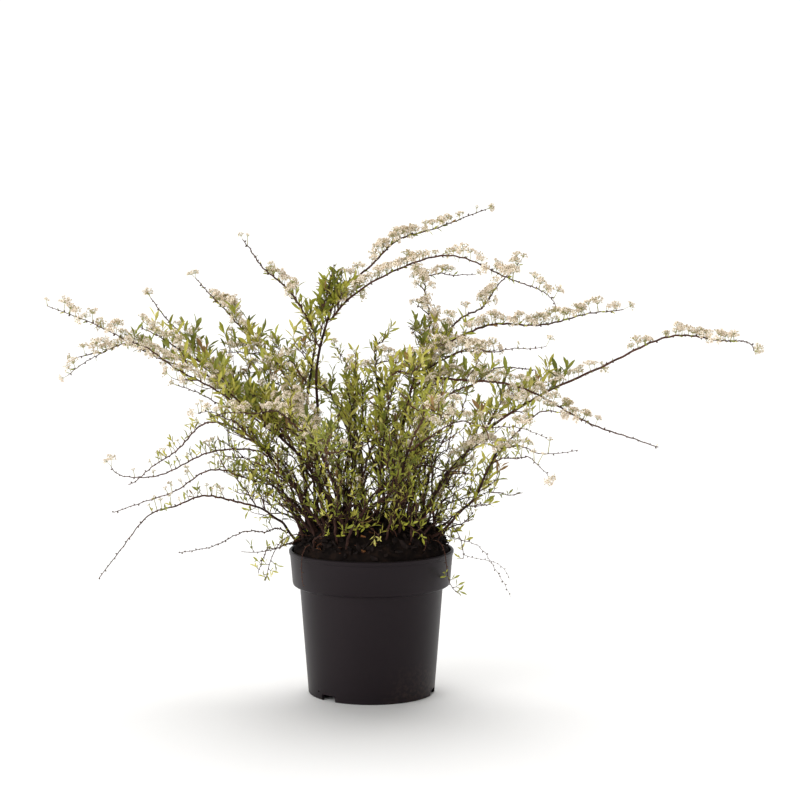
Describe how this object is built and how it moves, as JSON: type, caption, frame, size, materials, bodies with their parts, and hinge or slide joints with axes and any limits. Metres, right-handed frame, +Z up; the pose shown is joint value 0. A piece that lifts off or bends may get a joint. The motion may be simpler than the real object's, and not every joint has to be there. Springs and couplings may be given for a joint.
{
  "type": "spirea shrub in a nursery pot",
  "caption": "Multi-stemmed spirea shrub with long arching wands of white blossom and narrow green leaves, growing out of a mound of soil in a round black nursery pot.",
  "frame": {"origin": "centre of the pot's flat underside, on the surface that the pot stands on", "axes": "+Z is up along the pot's axis, +X is along the crown's widest spread, to the viewer's right, and +Y is away from the viewer"},
  "size_m": [0.8099, 0.6258, 0.558],
  "materials": {
    "pot": "satin black moulded plastic",
    "soil": "dark crumbly potting mix with bits of bark",
    "stem": "dark reddish-brown bark",
    "spray": "thin twigs, narrow yellow-green leaves and small cream-white flower heads"
  },
  "bodies": {
    "root": {"pot": "pot", "soil": "soil", "spray_back_arch": "spray", "spray_back_bow": "spray", "spray_back_left_arch": "spray", "spray_back_left_bow": "spray", "spray_back_right_arch": "spray", "spray_back_right_bow": "spray", "spray_bare_right": "spray", "spray_centre_front": "spray", "spray_centre_plume": "spray", "spray_drooping_left": "spray", "spray_far_left": "spray", "spray_far_right": "spray", "spray_feather_left": "spray", "spray_flower_mast": "spray", "spray_front_arch": "spray", "spray_front_bow": "spray", "spray_front_left_arch": "spray", "spray_front_right_arch": "spray", "spray_high_left": "spray", "spray_high_right": "spray", "spray_inner_left": "spray", "spray_inner_wave": "spray", "spray_leafy_right": "spray", "spray_left_flat": "spray", "spray_left_low": "spray", "spray_left_wave": "spray", "spray_low_arch": "spray", "spray_low_bow": "spray", "spray_low_cluster": "spray", "spray_low_hook": "spray", "spray_low_reach": "spray", "spray_mid_back": "spray", "spray_mid_back_left": "spray", "spray_sloping_right": "spray", "spray_straight_right": "spray", "spray_top_arch": "spray", "spray_top_plume": "spray", "spray_top_wand": "spray", "spray_trailing_left": "spray", "spray_trailing_right": "spray", "spray_upper_left": "spray", "spray_zigzag_left": "spray", "stem_back": "stem", "stem_back_left": "stem", "stem_back_right": "stem", "stem_front_left": "stem", "stem_front_right": "stem", "stem_left_mid": "stem", "stem_left_upright": "stem", "stem_long_left": "stem", "stem_long_right": "stem", "stem_low_left": "stem", "stem_low_right": "stem", "stem_mid_trunk": "stem", "stem_right_leaning": "stem", "stem_right_thick": "stem", "stem_right_upright": "stem", "stem_tall_upright": "stem"}
  },
  "joints": []
}
